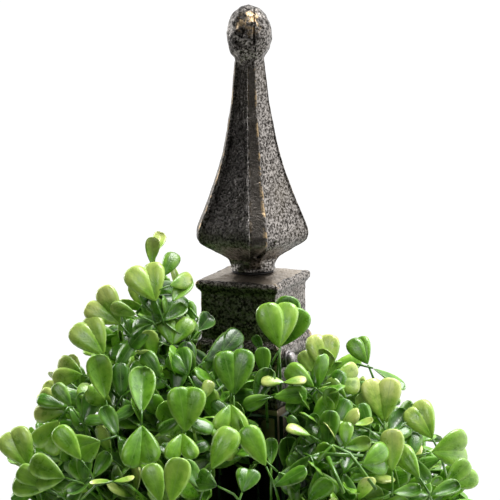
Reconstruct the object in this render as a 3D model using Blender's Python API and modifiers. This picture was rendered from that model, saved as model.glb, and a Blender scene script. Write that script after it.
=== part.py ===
"""Garden obelisk: cast-iron finial and cap block on four curved angle-iron legs, dressed with boxwood."""

import math

import bmesh
import bpy
from mathutils import Matrix

MM = 0.001
TOTAL_HEIGHT = 950 * MM
FINIAL_HEIGHT = 165.6 * MM
NECK_Z = TOTAL_HEIGHT - FINIAL_HEIGHT
FINIAL_TWIST = math.radians(-16)
FIT_GAP = 0.3 * MM

# millimetres above the foot: (height, radius), then (height, rib reach, rib width, recess)
FINIAL_FOOT = ((1.5, 14.2), (4, 13.6))
FINIAL_RIBS = (
    (8.5, 15.4, 6, 0.3),
    (11, 18.5, 7.5, 0.4),
    (14.3, 24.6, 9, 0.5),
    (18.5, 31.5, 10.3, 0.6),
    (21.5, 33.9, 10.5, 0.6),
    (27, 33.9, 10.5, 0.8),
    (34, 31.5, 10.2, 1.0),
    (44, 27.4, 9.4, 1.1),
    (54, 23.7, 8.6, 1.1),
    (64, 20.3, 7.8, 1.0),
    (74, 17.5, 7.2, 0.9),
    (84, 15.3, 6.6, 0.8),
    (94, 13.7, 6, 0.6),
    (104, 11.8, 5.4, 0.5),
    (121, 10, 4.8, 0.4),
    (129, 9.2, 4.6, 0.3),
)
BALL_RADIUS = 13.7 * MM
BALL_CENTRE = 148.2 * MM
BALL_ABOVE = FINIAL_HEIGHT - BALL_CENTRE
BALL_BELOW = 20 * MM

STUD_RADIUS = 5 * MM
STUD_IN_FINIAL = 32 * MM
GASKET_RADIUS = 12.5 * MM
GASKET_THICK = 1.2 * MM

BLOCK_HALF = 25 * MM
LIP_HALF = 27 * MM
TORUS_REACH = 3 * MM
BLOCK_ROOF_Z = NECK_Z - 18 * MM
LIP_TOP_Z = NECK_Z - 2.8 * MM
LIP_LOW_Z = NECK_Z - 7.6 * MM
DIE_TOP_Z = NECK_Z - 10.2 * MM
TORUS_TOP_Z = NECK_Z - 39.5 * MM
TORUS_LOW_Z = NECK_Z - 52 * MM
SKIRT_LOW_Z = NECK_Z - 81 * MM
WALL = 3 * MM

BOLT_Z = NECK_Z - 50 * MM
BOLT_RADIUS = 2.5 * MM
DOME_RADIUS = 4.2 * MM
WASHER_RADIUS = 5.4 * MM
BOSS_RADIUS = 5.8 * MM
BOSS_REACH = 3.2 * MM
WASHER_THICK = 1.2 * MM
BOLT_OFFSET = 15.5 * MM

CROWN_LOW_Z = SKIRT_LOW_Z - 100 * MM
CROWN_TOP_Z = BOLT_Z + 8 * MM

LEG_FLANGE = 18 * MM
BASE_HALF = 150 * MM
FOOT_SIZE = 44 * MM
FOOT_THICK = 4 * MM
LEG_STATIONS = 12
RAIL_HEIGHTS = {"low": 0.125, "middle": 0.330, "high": 0.530}
RAIL_DEPTH = 12 * MM

MAT_THICK = 2.5 * MM
MAT_LOW_Z = 0.105
MAT_TOP_Z = SKIRT_LOW_Z - 4 * MM
TIERS = {
    "base": (0.100, 0.270),
    "lower": (0.272, 0.440),
    "upper": (0.442, 0.598),
    "crown": (0.600, 0.706),
}
TIER_GAP = 1 * MM
BUSH_BASE_HALF = 205 * MM
BUSH_SHOULDER_Z = 0.680
BUSH_SHOULDER_HALF = 138 * MM
BUSH_CROWN_RISE = 0.110
BUSH_CROWN_FALL = 80 * MM
CROWN_TOPS = {"front": 0.738, "right": 0.736, "back": 0.758, "left": 0.780}
CROWN_DROPS = {"front": 0.009, "right": 0.028, "back": 0.021, "left": 0.001}
CROWN_CLEAR = 34 * MM

SIDES = {"front": -90, "right": 0, "back": 90, "left": 180}
CORNERS = {"front_right": -90, "back_right": 0, "back_left": 90, "front_left": 180}

COLOURS = {
    "cast_iron": ((0.045, 0.038, 0.032), 0.55, 0.7),
    "black_iron": ((0.012, 0.011, 0.010), 0.3, 0.8),
    "steel": ((0.45, 0.44, 0.43), 0.3, 1.0),
    "rubber": ((0.02, 0.02, 0.02), 0.8, 0.0),
    "mat_plastic": ((0.03, 0.09, 0.03), 0.6, 0.0),
    "boxwood": ((0.07, 0.24, 0.03), 0.35, 0.0),
}


def clear_scene():
    for obj in list(bpy.data.objects):
        bpy.data.objects.remove(obj, do_unlink=True)


def new_collection(name):
    collection = bpy.data.collections.new(name)
    bpy.context.scene.collection.children.link(collection)
    return collection


def material(name):
    found = bpy.data.materials.get(name)
    if found:
        return found
    colour, roughness, metallic = COLOURS[name]
    made = bpy.data.materials.new(name)
    made.use_nodes = True
    shader = made.node_tree.nodes["Principled BSDF"]
    shader.inputs["Base Color"].default_value = (*colour, 1)
    shader.inputs["Roughness"].default_value = roughness
    shader.inputs["Metallic"].default_value = metallic
    made.diffuse_color = (*colour, 1)
    return made


def keep(obj, name, material_name, collection):
    """Name an object, give it its material and put it in its collection."""
    obj.name = name
    obj.data.name = name
    obj.data.materials.clear()
    obj.data.materials.append(material(material_name))
    for used in list(obj.users_collection):
        used.objects.unlink(obj)
    collection.objects.link(obj)
    return obj


def from_bmesh(shape, name, material_name, collection):
    bmesh.ops.recalc_face_normals(shape, faces=shape.faces)
    mesh = bpy.data.meshes.new(name)
    shape.to_mesh(mesh)
    shape.free()
    return keep(bpy.data.objects.new(name, mesh), name, material_name, collection)


def apply_scale(obj):
    obj.data.transform(Matrix.Diagonal((*obj.scale, 1)))
    obj.scale = (1, 1, 1)


def box(size, centre, name, material_name, collection):
    bpy.ops.mesh.primitive_cube_add(size=1, location=centre)
    obj = bpy.context.object
    obj.scale = size
    apply_scale(obj)
    return keep(obj, name, material_name, collection)


def cylinder(radius, depth, centre, sides, name, material_name, collection):
    bpy.ops.mesh.primitive_cylinder_add(vertices=sides, radius=radius, depth=depth, location=centre)
    return keep(bpy.context.object, name, material_name, collection)


def cut(obj, cutter, operation="DIFFERENCE"):
    """Take a cutter's shape out of an object, or add it on, with an exact Boolean."""
    cutter.hide_render = True
    cutter.display_type = "WIRE"
    modifier = obj.modifiers.new(operation.title() + " " + cutter.name, "BOOLEAN")
    modifier.operation = operation
    modifier.solver = "EXACT"
    modifier.object = cutter


def turned(profile, steps, name, material_name, collection):
    """Turn a closed or axis-to-axis profile of (radius, height) about Z, listed down its outer side."""
    mesh = bpy.data.meshes.new(name)
    points = [(radius, 0, height) for radius, height in profile]
    mesh.from_pydata(points, [(i, i + 1) for i in range(len(points) - 1)], [])
    obj = keep(bpy.data.objects.new(name, mesh), name, material_name, collection)
    screw = obj.modifiers.new("Turn", "SCREW")
    screw.steps = screw.render_steps = steps
    screw.use_merge_vertices = True
    screw.merge_threshold = 0.00001
    return obj


def section(half, strip, recess):
    """A four-sided section with a flat rib strip at each corner and a recessed broad face between."""
    reach = half - strip / math.sqrt(2)
    flank = min(recess * 1.6, reach * 0.5)
    side = [(half, -reach), (half - recess, -reach + flank), (half - recess, reach - flank), (half, reach)]
    points = []
    for quarter in range(4):
        cosine, sine = round(math.cos(quarter * math.pi / 2)), round(math.sin(quarter * math.pi / 2))
        points += [(x * cosine - y * sine, x * sine + y * cosine) for x, y in side]
    return points


def circle(radius):
    turn = [math.atan2(y, x) for x, y in section(1, 0.5, 0.05)]
    return [(radius * math.cos(a), radius * math.sin(a)) for a in turn]


def loft(rings, shape):
    """Skin a stack of equal-count rings of (points, height) and close both ends."""
    loops = [[shape.verts.new((x, y, z)) for x, y in points] for points, z in rings]
    for low, high in zip(loops, loops[1:]):
        for i, start in enumerate(low):
            after = (i + 1) % len(low)
            shape.faces.new((start, low[after], high[after], high[i]))
    shape.faces.new(reversed(loops[0]))
    shape.faces.new(loops[-1])


def rib_section(reach, strip, recess):
    """The finial's section whose ribs reach this far from the axis, in millimetres."""
    half = (reach + strip / 2) / math.sqrt(2)
    return section(half * MM, strip * MM, recess * MM)


def make_finial(parts, cutters):
    """A flare from the foot to a shoulder, a hollow taper to a neck, and a ball on top."""
    rings = [(circle(radius * MM), z * MM) for z, radius in FINIAL_FOOT]
    rings += [(rib_section(reach, strip, recess), z * MM) for z, reach, strip, recess in FINIAL_RIBS]
    for angle in range(-48, 90, 16):
        turn = math.radians(angle)
        rise = BALL_ABOVE if angle > 0 else BALL_BELOW
        rings.append((circle(BALL_RADIUS * math.cos(turn)), BALL_CENTRE + rise * math.sin(turn)))
    shape = bmesh.new()
    loft(rings, shape)
    finial = from_bmesh(shape, "finial", "cast_iron", parts)
    finial.data.transform(Matrix.Rotation(FINIAL_TWIST, 4, "Z"))
    finial.location.z = NECK_Z
    deep = STUD_IN_FINIAL + 1 * MM
    bore = cylinder(STUD_RADIUS + FIT_GAP, 2 * deep, (0, 0, NECK_Z), 16, "finial_bore", "steel", cutters)
    cut(finial, bore)


def make_gasket(parts):
    inner = STUD_RADIUS + FIT_GAP
    outer, thick = GASKET_RADIUS, GASKET_THICK
    profile = [(inner, thick), (outer, thick), (outer, 0), (inner, 0), (inner, thick)]
    gasket = turned(profile, 24, "finial_gasket", "rubber", parts)
    gasket.location.z = NECK_Z


def bolt_place(side, out=0):
    """Turns +Z out through a side of the skirt, at that side's bolt near one corner."""
    turn = Matrix.Rotation(math.radians(SIDES[side]), 4, "Z") @ Matrix.Rotation(math.pi / 2, 4, "Y")
    return Matrix.Translation((0, 0, BOLT_Z)) @ turn @ Matrix.Translation((0, -BOLT_OFFSET, out))


def cut_bolt_holes(obj, cutters):
    for side in SIDES:
        depth = 40 * MM
        name = obj.name + "_bolt_hole_" + side
        hole = cylinder(BOLT_RADIUS + FIT_GAP, depth, (0, 0, 0), 12, name, "steel", cutters)
        hole.matrix_world = bolt_place(side, depth / 2)
        cut(obj, hole)


def make_cap_block(parts, cutters):
    """A square casting: low roof, lip, die, torus roll and hollow skirt, turned in four steps."""
    square = math.sqrt(2)
    torus_mid = (TORUS_TOP_Z + TORUS_LOW_Z) / 2
    torus_half = (TORUS_TOP_Z - TORUS_LOW_Z) / 2
    roof = [(0, NECK_Z - FIT_GAP), (13 * MM, NECK_Z - FIT_GAP), (16 * MM, NECK_Z - 1.3 * MM)]
    lip = [(LIP_HALF, LIP_TOP_Z), (LIP_HALF, LIP_LOW_Z), (BLOCK_HALF, DIE_TOP_Z)]
    roll = []
    for step in range(7):
        turn = math.pi / 2 - math.pi * step / 6
        roll.append((BLOCK_HALF + TORUS_REACH * math.cos(turn), torus_mid + torus_half * math.sin(turn)))
    skirt = [(BLOCK_HALF, SKIRT_LOW_Z), (0, SKIRT_LOW_Z)]
    profile = [(half * square, z) for half, z in roof + lip + roll + skirt]
    block = turned(profile, 4, "cap_block", "cast_iron", parts)
    block.data.transform(Matrix.Rotation(math.pi / 4, 4, "Z"))
    hollow_half = BLOCK_HALF - WALL
    depth = BLOCK_ROOF_Z - SKIRT_LOW_Z + 10 * MM
    size = (2 * hollow_half, 2 * hollow_half, depth)
    hollow = box(size, (0, 0, BLOCK_ROOF_Z - depth / 2), "cap_hollow", "steel", cutters)
    bore = cylinder(STUD_RADIUS + FIT_GAP, 60 * MM, (0, 0, NECK_Z), 16, "cap_stud_bore", "steel", cutters)
    for side in SIDES:
        reach = BLOCK_HALF + BOSS_REACH
        boss = cylinder(BOSS_RADIUS, reach, (0, 0, 0), 20, "cap_boss_" + side, "steel", cutters)
        boss.matrix_world = bolt_place(side, reach / 2)
        cut(block, boss, "UNION")
    cut(block, hollow)
    cut(block, bore)
    cut_bolt_holes(block, cutters)


def make_stud(parts):
    low = BLOCK_ROOF_Z - 16 * MM
    high = NECK_Z + STUD_IN_FINIAL
    cylinder(STUD_RADIUS, high - low, (0, 0, (low + high) / 2), 16, "finial_stud", "steel", parts)
    for name, radius, sides, top, thick in (
        ("stud_washer", 10 * MM, 24, BLOCK_ROOF_Z - FIT_GAP, 2 * MM),
        ("stud_nut", 9.2 * MM, 6, BLOCK_ROOF_Z - 2 * MM - 2 * FIT_GAP, 8 * MM),
    ):
        inner = STUD_RADIUS + FIT_GAP
        ring = [(inner, top), (radius, top), (radius, top - thick), (inner, top - thick), (inner, top)]
        if sides == 24:
            turned(ring, sides, name, "steel", parts)
            continue
        nut = cylinder(radius, thick, (0, 0, top - thick / 2), sides, name, "steel", parts)
        cutters = bpy.data.collections["cutters"]
        hole = cylinder(inner, 0.06, (0, 0, top), 16, name + "_bore", "steel", cutters)
        cut(nut, hole)


def make_crown(parts, cutters):
    """A square tube inside the skirt that the legs are welded round and the cap bolts screw into."""
    half = BLOCK_HALF - WALL - FIT_GAP
    depth = CROWN_TOP_Z - CROWN_LOW_Z
    centre = (0, 0, (CROWN_TOP_Z + CROWN_LOW_Z) / 2)
    crown = box((2 * half, 2 * half, depth), centre, "leg_crown", "black_iron", parts)
    inner = half - WALL
    cut(crown, box((2 * inner, 2 * inner, depth + 20 * MM), centre, "crown_hollow", "steel", cutters))
    cut_bolt_holes(crown, cutters)


def make_bolts(parts):
    """A dome-head bolt and a washer on each side of the skirt, near the corner that it clamps."""
    face = BLOCK_HALF + BOSS_REACH + FIT_GAP
    seat = face + WASHER_THICK + FIT_GAP
    tip = BLOCK_HALF - 2 * WALL - 3 * MM
    for side in SIDES:
        dome = [
            (DOME_RADIUS * math.cos(a), seat + 1.0 * MM + 2.6 * MM * math.sin(a))
            for a in (math.radians(90 - 18 * i) for i in range(6))
        ]
        dome[0] = (0, dome[0][1])
        profile = dome + [(DOME_RADIUS, seat), (BOLT_RADIUS, seat), (BOLT_RADIUS, tip), (0, tip)]
        bolt = turned(profile, 16, "cap_bolt_" + side, "steel", parts)
        inner = BOLT_RADIUS + FIT_GAP
        outer = face + WASHER_THICK
        ring = [(inner, outer), (WASHER_RADIUS, outer), (WASHER_RADIUS, face), (inner, face), (inner, outer)]
        washer = turned(ring, 20, "cap_washer_" + side, "steel", parts)
        for obj in (bolt, washer):
            obj.matrix_world = bolt_place(side)


def leg_half(z):
    """Half-width of the frame at the legs' outer corners: upright at the cap, swept out below."""
    fall = max(0.0, (SKIRT_LOW_Z - z) / SKIRT_LOW_Z)
    return BLOCK_HALF + (BASE_HALF - BLOCK_HALF) * fall**2


def make_legs(parts):
    """Each leg is one length of angle iron, its corner outwards, swept along the same curve."""
    low, high = FOOT_THICK + FIT_GAP, SKIRT_LOW_Z - FIT_GAP
    wide, thin = -LEG_FLANGE, -WALL
    outline = [(0, 0), (0, wide), (thin, wide), (thin, thin), (wide, thin), (wide, 0)]
    for corner, degrees in CORNERS.items():
        shape = bmesh.new()
        rings = []
        for step in range(LEG_STATIONS + 1):
            z = low + (high - low) * step / LEG_STATIONS
            half = leg_half(z)
            rings.append(([(half + x, half + y) for x, y in reversed(outline)], z))
        loft(rings, shape)
        leg = from_bmesh(shape, "leg_" + corner, "black_iron", parts)
        leg.data.transform(Matrix.Rotation(math.radians(degrees), 4, "Z"))


def make_feet(parts):
    centre = BASE_HALF - LEG_FLANGE / 2
    for corner, degrees in CORNERS.items():
        turn = Matrix.Rotation(math.radians(degrees), 4, "Z")
        place = turn @ Matrix.Translation((centre, centre, FOOT_THICK / 2))
        size = (FOOT_SIZE, FOOT_SIZE, FOOT_THICK)
        foot = box(size, place.to_translation(), "foot_plate_" + corner, "black_iron", parts)
        bevel = foot.modifiers.new("Bevel", "BEVEL")
        bevel.width = 0.8 * MM
        bevel.segments = 1


def make_rails(parts):
    """Flat bars between the legs, behind their flanges, at three heights on each side."""
    for level, z in RAIL_HEIGHTS.items():
        inside = leg_half(z + RAIL_DEPTH / 2) - WALL - FIT_GAP
        for side, degrees in SIDES.items():
            across = Matrix.Rotation(math.radians(degrees), 4, "Z")
            length = 2 * (inside - WALL - FIT_GAP)
            size = (WALL, length, RAIL_DEPTH)
            rail = box(size, (0, 0, 0), "rail_" + level + "_" + side, "black_iron", parts)
            rail.matrix_world = across @ Matrix.Translation((inside - WALL / 2, 0, z))


def make_mats(parts):
    """A clip-in grid panel lies against each side of the frame and carries the boxwood sprigs."""
    columns, rows = 4, 7
    for side, degrees in SIDES.items():
        shape = bmesh.new()
        grid = []
        for row in range(rows + 1):
            z = MAT_LOW_Z + (MAT_TOP_Z - MAT_LOW_Z) * row / rows
            half = leg_half(z)
            out = half + FIT_GAP + MAT_THICK / 2 + 1 * MM
            grid.append([shape.verts.new((out, half * (2 * c / columns - 1), z)) for c in range(columns + 1)])
        for low, high in zip(grid, grid[1:]):
            for c in range(columns):
                shape.faces.new((low[c], low[c + 1], high[c + 1], high[c]))
        mat = from_bmesh(shape, "boxwood_mat_" + side, "mat_plastic", parts)
        wire = mat.modifiers.new("Grid", "WIREFRAME")
        wire.thickness = MAT_THICK
        wire.use_even_offset = False
        wire.use_boundary = True
        mat.rotation_euler.z = math.radians(degrees)


def bush_half(z, drop):
    """Half-width of the boxwood: a slow taper to a shoulder, then a cone that starts lower by drop."""
    if z + drop <= BUSH_SHOULDER_Z:
        rise = (z + drop) / BUSH_SHOULDER_Z
        return BUSH_BASE_HALF + (BUSH_SHOULDER_HALF - BUSH_BASE_HALF) * rise**1.6
    rise = (z + drop - BUSH_SHOULDER_Z) / BUSH_CROWN_RISE
    return BUSH_SHOULDER_HALF - BUSH_CROWN_FALL * rise**1.3


def bush_ring(inner, outer, z):
    """One level of a side's boxwood: a block mitred at 45 degrees, with its outer corners rounded off."""
    round_off = outer * 0.3
    points = [
        (inner, -inner + TIER_GAP),
        (outer - round_off * 0.55, -(outer - round_off * 0.55) + TIER_GAP),
        (outer - round_off * 0.18, -(outer - round_off)),
        (outer, -(outer - round_off * 1.7)),
    ]
    mirrored = [(x, -y) for x, y in reversed(points)]
    return points + mirrored, z


def make_boxwood(parts):
    """Each side of the frame carries its boxwood in four tiers, one closed bush solid apiece."""
    steps = 3
    for tier, (low, high) in TIERS.items():
        for side, degrees in SIDES.items():
            drop = CROWN_DROPS[side] if tier == "crown" else 0
            inner = leg_half(low) + MAT_THICK + 2.6 * MM
            heights = [low + (high - low) * step / steps for step in range(steps + 1)]
            rings = [bush_ring(inner, bush_half(z, drop), z) for z in heights]
            if tier == "crown":
                rise = CROWN_TOPS[side] - high
                heights = [high + rise * share for share in (0.04, 0.35, 0.7, 1)]
                rings += [bush_ring(CROWN_CLEAR, bush_half(z, drop), z) for z in heights]
            shape = bmesh.new()
            loft(rings, shape)
            bush = from_bmesh(shape, "boxwood_" + tier + "_" + side, "boxwood", parts)
            bush.rotation_euler.z = math.radians(degrees)


def main():
    clear_scene()
    parts = new_collection("garden_obelisk")
    cutters = new_collection("cutters")
    make_finial(parts, cutters)
    make_gasket(parts)
    make_cap_block(parts, cutters)
    make_stud(parts)
    make_crown(parts, cutters)
    make_bolts(parts)
    make_legs(parts)
    make_feet(parts)
    make_rails(parts)
    make_mats(parts)
    make_boxwood(parts)


main()
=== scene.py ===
import math
import bpy
import numpy as np
from mathutils import Matrix, Vector, noise


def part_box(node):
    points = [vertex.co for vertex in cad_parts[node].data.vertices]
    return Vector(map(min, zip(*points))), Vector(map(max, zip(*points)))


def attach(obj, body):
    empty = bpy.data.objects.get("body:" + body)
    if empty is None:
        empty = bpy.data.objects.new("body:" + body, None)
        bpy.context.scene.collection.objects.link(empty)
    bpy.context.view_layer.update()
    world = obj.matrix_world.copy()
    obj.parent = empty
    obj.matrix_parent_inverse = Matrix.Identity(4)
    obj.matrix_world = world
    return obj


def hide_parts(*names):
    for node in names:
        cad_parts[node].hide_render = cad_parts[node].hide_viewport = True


mm = 0.001
sideTurns = {"front": -90, "right": 0, "back": 90, "left": 180}

print("stage: frame")
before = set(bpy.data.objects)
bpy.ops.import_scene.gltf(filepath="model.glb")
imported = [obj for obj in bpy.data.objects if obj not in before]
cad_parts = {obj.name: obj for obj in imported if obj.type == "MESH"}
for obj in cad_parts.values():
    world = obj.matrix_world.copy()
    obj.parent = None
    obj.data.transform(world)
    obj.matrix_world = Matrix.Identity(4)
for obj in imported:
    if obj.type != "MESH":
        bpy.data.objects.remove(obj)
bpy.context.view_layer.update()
capLow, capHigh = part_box("cap_block")
neckZ = capHigh.z + 0.3 * mm  # where the finial's foot meets the cap
skirtZ = capLow.z
viewTurn = math.radians(22.7)  # the side of the object that faces the main view
viewRight = Vector((math.cos(viewTurn), math.sin(viewTurn), 0))
viewToward = Vector((math.sin(viewTurn), -math.cos(viewTurn), 0))
studio = {
    "floorRadius": 1.5, "distance": 2.6, "frameWidth": 0.309, "sensor": 36,
    "lift": 0.0133, "aside": 0.0016, "roll": 0.93, "tilt": 10.7,
    "aim": 0.7,  # height that the lamps point at, metres
}
viewTarget = Vector((0, 0, neckZ + studio["lift"])) - viewRight * studio["aside"]
viewTilt = math.radians(studio["tilt"])
viewBack = viewToward * math.cos(viewTilt) + Vector((0, 0, math.sin(viewTilt)))
viewRoll = Matrix.Rotation(math.radians(-studio["roll"]), 3, "Z")
viewFrame = (-viewBack).to_track_quat("-Z", "Y").to_matrix() @ viewRoll
viewAcross, viewUp = viewFrame.col[0].copy(), viewFrame.col[1].copy()


def seenAt(point):
    # mm across and up from the middle of the main view, and mm in front of its middle plane
    away = point - viewTarget
    depth = away.dot(viewBack)
    grow = 1 / (1 - depth / studio["distance"])
    return away.dot(viewAcross) * grow / mm, away.dot(viewUp) * grow / mm, depth / mm


def placeSeen(across, up, depth):
    # the point that is seen at this place, at this depth
    shrink = 1 - depth * mm / studio["distance"]
    return viewTarget + (viewAcross * across + viewUp * up) * mm * shrink + viewBack * depth * mm


def deselectAll():
    bpy.ops.object.select_all(action="DESELECT")


def activate(obj):
    deselectAll()
    obj.select_set(True)
    bpy.context.view_layer.objects.active = obj


def applyModifiers(obj):
    activate(obj)
    for modifier in list(obj.modifiers):
        bpy.ops.object.modifier_apply(modifier=modifier.name)


def applyPlace(obj):
    activate(obj)
    bpy.ops.object.transform_apply(location=True, rotation=True, scale=True)


def smoothShade(obj, degrees=40):
    activate(obj)
    bpy.ops.object.shade_smooth_by_angle(angle=math.radians(degrees))


def fixNormals(obj):
    activate(obj)
    bpy.ops.object.mode_set(mode="EDIT")
    bpy.ops.mesh.select_all(action="SELECT")
    bpy.ops.mesh.remove_doubles(threshold=0.00001)
    bpy.ops.mesh.normals_make_consistent(inside=False)
    bpy.ops.object.mode_set(mode="OBJECT")


def addBevel(obj, width, segments=2, degrees=30):
    bevel = obj.modifiers.new("Bevel", "BEVEL")
    bevel.width = width
    bevel.segments = segments
    bevel.limit_method = "ANGLE"
    bevel.angle_limit = math.radians(degrees)


def roughen(obj, layers):
    # moves each vertex along its normal by layers of (size of lump, height)
    mesh = obj.data
    count = len(mesh.vertices)
    places = np.empty(count * 3)
    normals = np.empty(count * 3)
    mesh.vertices.foreach_get("co", places)
    mesh.vertex_normals.foreach_get("vector", normals)
    places = places.reshape(-1, 3)
    push = np.zeros(count)
    for lump, height in layers:
        push += [height * noise.noise(Vector(p) / lump) for p in places]
    places += normals.reshape(-1, 3) * push[:, None]
    mesh.vertices.foreach_set("co", places.reshape(-1))
    mesh.update()


def castSkin(obj, grain):
    # rounds the edges off a little and roughens them, with sizes in mm
    soften = obj.modifiers.new("Soften", "SMOOTH")
    soften.factor = 0.5
    soften.iterations = 2
    applyModifiers(obj)
    roughen(obj, [(lump * mm, height * mm) for lump, height in grain])


def pointValue(obj, name, values):
    attribute = obj.data.attributes.new(name, "FLOAT", "POINT")
    attribute.data.foreach_set("value", np.asarray(values, dtype=np.float32))


def curveThrough(xs, ys, x):
    # a smooth curve through the points, level in the ends
    xs, ys = np.asarray(xs, float), np.asarray(ys, float)
    slopes = np.gradient(ys, xs, axis=0)
    i = np.clip(np.searchsorted(xs, x) - 1, 0, len(xs) - 2)
    step = xs[i + 1] - xs[i]
    t = ((x - xs[i]) / step).reshape((-1,) + (1,) * (ys.ndim - 1))
    step = step.reshape(t.shape)
    return (
        (2 * t**3 - 3 * t**2 + 1) * ys[i]
        + (t**3 - 2 * t**2 + t) * step * slopes[i]
        + (3 * t**2 - 2 * t**3) * ys[i + 1]
        + (t**3 - t**2) * step * slopes[i + 1]
    )


def newMaterial(name):
    made = bpy.data.materials.new(name)
    made.use_nodes = True
    tree = made.node_tree
    return made, tree, tree.nodes["Principled BSDF"]


def addNode(tree, kind, **values):
    node = tree.nodes.new(kind)
    for key, value in values.items():
        if key in node.inputs:
            node.inputs[key].default_value = value
        else:
            setattr(node, key, value)
    return node


def noiseNode(tree, place, scale, detail=4, rough=0.6):
    node = tree.nodes.new("ShaderNodeTexNoise")
    node.inputs["Scale"].default_value = scale
    node.inputs["Detail"].default_value = detail
    node.inputs["Roughness"].default_value = rough
    tree.links.new(place, node.inputs["Vector"])
    return node.outputs["Fac"]


def ramp(tree, value, stops):
    node = tree.nodes.new("ShaderNodeValToRGB")
    elements = node.color_ramp.elements
    while len(elements) < len(stops):
        elements.new(0.5)
    for element, (place, colour) in zip(elements, stops):
        element.position = place
        element.color = (*colour, 1) if isinstance(colour, tuple) else (colour, colour, colour, 1)
    tree.links.new(value, node.inputs["Fac"])
    return node.outputs["Color"]


def mixColour(tree, share, first, second):
    node = tree.nodes.new("ShaderNodeMix")
    node.data_type = "RGBA"
    for socket, value in ((node.inputs[0], share), (node.inputs[6], first), (node.inputs[7], second)):
        if isinstance(value, tuple):
            socket.default_value = (*value, 1)
        elif isinstance(value, (int, float)):
            socket.default_value = value
        else:
            tree.links.new(value, socket)
    return node.outputs[2]


def maths(tree, operation, first, second=0.5):
    node = tree.nodes.new("ShaderNodeMath")
    node.operation = operation
    for socket, value in ((node.inputs[0], first), (node.inputs[1], second)):
        if isinstance(value, (int, float)):
            socket.default_value = value
        else:
            tree.links.new(value, socket)
    return node.outputs[0]


def objectPlace(tree):
    return tree.nodes.new("ShaderNodeTexCoord").outputs["Object"]


def addBump(tree, shader, height, strength, distance):
    bump = tree.nodes.new("ShaderNodeBump")
    bump.inputs["Strength"].default_value = strength
    bump.inputs["Distance"].default_value = distance
    tree.links.new(height, bump.inputs["Height"])
    tree.links.new(bump.outputs["Normal"], shader.inputs["Normal"])


def castIronMaterial(name, pitted, brown, pale, plainTone):
    # cast iron: pitted skin, paler high spots, one even tone on the ribs and the roof, bronze where rubbed
    made, tree, shader = newMaterial(name)
    place = objectPlace(tree)
    fine = noiseNode(tree, place, 700, 5, 0.6)
    coarse = noiseNode(tree, place, 260, 4, 0.6)
    broad = noiseNode(tree, place, 40, 3, 0.5)
    skin = ramp(tree, fine, [(0.38, (0.004, 0.004, 0.003)), (0.45, brown), (0.56, pale)])
    pits = ramp(tree, coarse, [(0.40, 0.0), (0.72, pitted)])
    stained = mixColour(tree, pits, skin, (0.02, 0.016, 0.012))
    cloud = ramp(tree, broad, [(0.45, 0.0), (0.75, 0.3)])
    tinted = mixColour(tree, cloud, stained, (0.10, 0.085, 0.055))
    wear = addNode(tree, "ShaderNodeAttribute", attribute_name="wear").outputs["Fac"]
    chips = ramp(tree, noiseNode(tree, place, 110, 6, 0.7), [(0.50, 0.0), (0.56, 1.0)])
    rubbed = maths(tree, "MULTIPLY", ramp(tree, wear, [(0.05, 0.0), (0.5, 1.0)]), chips)
    plain = addNode(tree, "ShaderNodeAttribute", attribute_name="plain").outputs["Fac"]
    smoothed = mixColour(tree, maths(tree, "MULTIPLY", plain, 0.75), tinted, plainTone)
    colour = mixColour(tree, rubbed, smoothed, (0.42, 0.31, 0.18))
    tree.links.new(colour, shader.inputs["Base Color"])
    shader.inputs["Metallic"].default_value = 1.0
    tree.links.new(ramp(tree, fine, [(0.3, 0.5), (0.7, 0.3)]), shader.inputs["Roughness"])
    height = maths(tree, "ADD", fine, maths(tree, "MULTIPLY", coarse, 0.8))
    addBump(tree, shader, height, 0.5, 0.001)
    return made


def paintedIronMaterial():
    # gloss black on the legs and rails, with brown bare spots at the corners; the bare colour is made bright, so the
    # wide patch on each leg's corner under the cap is partly bare metal and partly a painted highlight
    made, tree, shader = newMaterial("blackIron")
    place = objectPlace(tree)
    broad = noiseNode(tree, place, 120, 5, 0.65)
    chips = ramp(tree, noiseNode(tree, place, 300, 5, 0.7), [(0.60, 0.0), (0.66, 1.0)])
    black = ramp(tree, broad, [(0.3, (0.008, 0.007, 0.006)), (0.7, (0.022, 0.019, 0.015))])
    wear = addNode(tree, "ShaderNodeAttribute", attribute_name="wear").outputs["Fac"]
    share = maths(tree, "MAXIMUM", maths(tree, "MULTIPLY", chips, 0.12), wear)
    # this bright bare colour paints a highlight on the legs' corner under the cap, as well as bare metal
    tree.links.new(mixColour(tree, share, black, (0.80, 0.62, 0.42)), shader.inputs["Base Color"])
    tree.links.new(ramp(tree, broad, [(0.3, 0.22), (0.7, 0.42)]), shader.inputs["Roughness"])
    shader.inputs["Metallic"].default_value = 0.6
    addBump(tree, shader, noiseNode(tree, place, 500, 3, 0.5), 0.25, 0.0003)
    return made


def steelMaterial():
    # zinc-plated bolts and washers, dulled and streaked
    made, tree, shader = newMaterial("dullSteel")
    place = objectPlace(tree)
    cloud = noiseNode(tree, place, 220, 5, 0.65)
    stops = [(0.3, (0.16, 0.15, 0.15)), (0.55, (0.33, 0.31, 0.31)), (0.75, (0.26, 0.20, 0.14))]
    grey = ramp(tree, cloud, stops)
    tree.links.new(grey, shader.inputs["Base Color"])
    tree.links.new(ramp(tree, cloud, [(0.3, 0.5), (0.7, 0.3)]), shader.inputs["Roughness"])
    shader.inputs["Metallic"].default_value = 0.85
    addBump(tree, shader, noiseNode(tree, place, 1500, 3, 0.5), 0.2, 0.0002)
    return made


def rubberMaterial():
    made, tree, shader = newMaterial("gasketRubber")
    place = objectPlace(tree)
    dust = noiseNode(tree, place, 400, 5, 0.7)
    black = ramp(tree, dust, [(0.4, (0.012, 0.012, 0.012)), (0.7, (0.05, 0.048, 0.045))])
    tree.links.new(black, shader.inputs["Base Color"])
    shader.inputs["Roughness"].default_value = 0.75
    addBump(tree, shader, dust, 0.3, 0.0002)
    return made


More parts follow.
